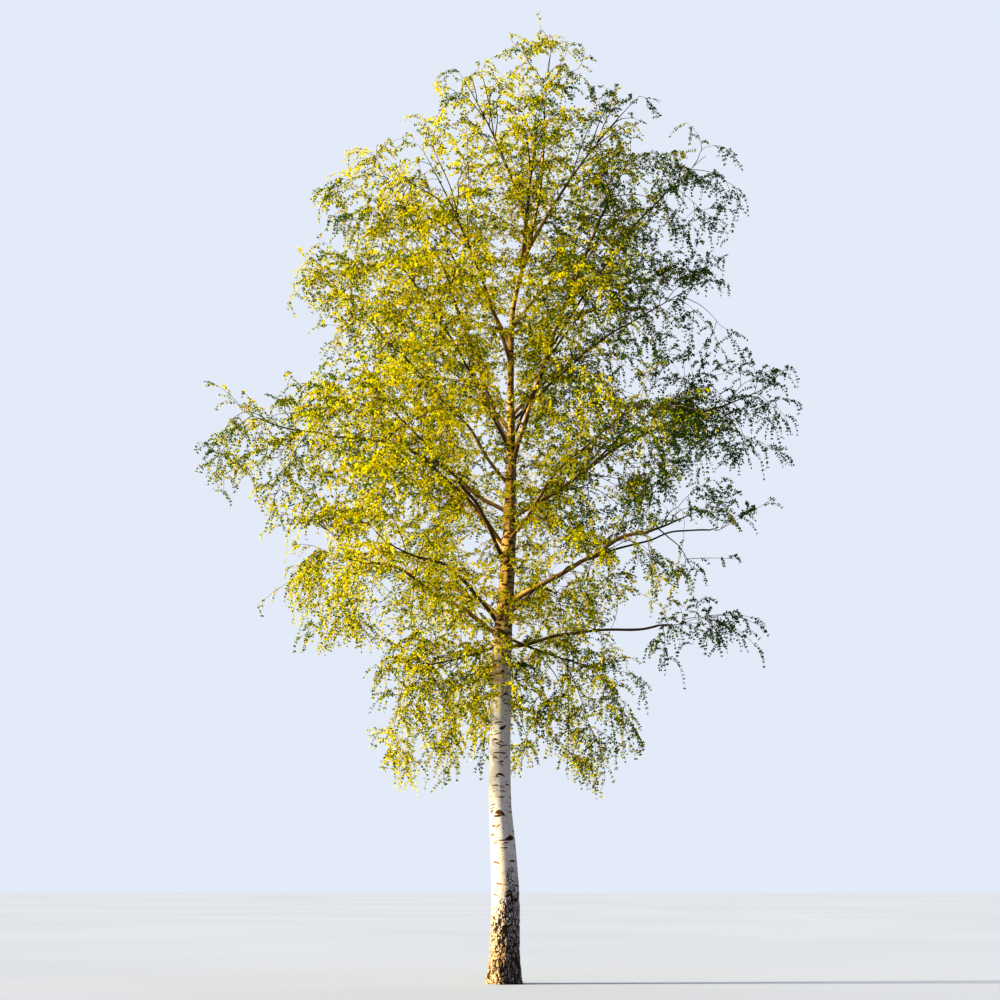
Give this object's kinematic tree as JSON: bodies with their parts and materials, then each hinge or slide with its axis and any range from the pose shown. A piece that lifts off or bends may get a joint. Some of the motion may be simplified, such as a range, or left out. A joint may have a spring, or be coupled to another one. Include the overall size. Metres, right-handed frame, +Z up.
{
  "type": "paper birch tree",
  "caption": "Tall white-barked birch in spring leaf: a slender swaying trunk with a flared foot, rising boughs and airy, drooping masses of yellow-green foliage.",
  "frame": {"origin": "middle of the flat cut under the trunk, at ground level", "axes": "+Z up along the tree, +X to the right and -Y towards the viewer of the picture"},
  "size_m": [10.2658, 8.4887, 16.5367],
  "materials": {
    "white_bark": "chalky white bark with dark bands, dark and fissured at the foot",
    "bough_bark": "smooth red-brown to cream bark",
    "leaves": "thin, slightly glossy spring leaves"
  },
  "bodies": {
    "root": {"trunk": "white_bark", "bough_high_front_left": "bough_bark", "bough_high_front_right": "bough_bark", "bough_high_left": "bough_bark", "bough_high_right": "bough_bark", "bough_low_back_left": "bough_bark", "bough_low_back_right": "bough_bark", "bough_low_front_left": "bough_bark", "bough_low_front_right": "bough_bark", "bough_low_left": "bough_bark", "bough_low_right": "bough_bark", "bough_low_right_outer": "bough_bark", "bough_low_right_tip": "bough_bark", "bough_upper_left": "bough_bark", "bough_upper_mid_right": "bough_bark", "bough_upper_right": "bough_bark", "bough_wide_back_left": "bough_bark", "bough_wide_back_right": "bough_bark", "bough_wide_front_left": "bough_bark", "bough_wide_front_right": "bough_bark", "bough_wide_left": "bough_bark", "bough_wide_left_tip": "bough_bark", "bough_wide_right": "bough_bark", "bough_wide_right_tip": "bough_bark", "foliage_high_back_left": "leaves", "foliage_high_back_right": "leaves", "foliage_high_front_left": "leaves", "foliage_high_front_right": "leaves", "foliage_high_left": "leaves", "foliage_high_right": "leaves", "foliage_low_back_left": "leaves", "foliage_low_back_right": "leaves", "foliage_low_front_left": "leaves", "foliage_low_front_right": "leaves", "foliage_low_left": "leaves", "foliage_low_right": "leaves", "foliage_low_right_outer": "leaves", "foliage_low_right_tip": "leaves", "foliage_skirt_back": "leaves", "foliage_skirt_left": "leaves", "foliage_skirt_right": "leaves", "foliage_top": "leaves", "foliage_top_back": "leaves", "foliage_top_front": "leaves", "foliage_top_left": "leaves", "foliage_top_right": "leaves", "foliage_upper_back_left": "leaves", "foliage_upper_back_right": "leaves", "foliage_upper_front_left": "leaves", "foliage_upper_left": "leaves", "foliage_upper_mid_right": "leaves", "foliage_upper_right": "leaves", "foliage_wide_back_left": "leaves", "foliage_wide_back_right": "leaves", "foliage_wide_front_left": "leaves", "foliage_wide_front_right": "leaves", "foliage_wide_left": "leaves", "foliage_wide_left_tip": "leaves", "foliage_wide_right": "leaves", "foliage_wide_right_tip": "leaves"}
  },
  "joints": []
}
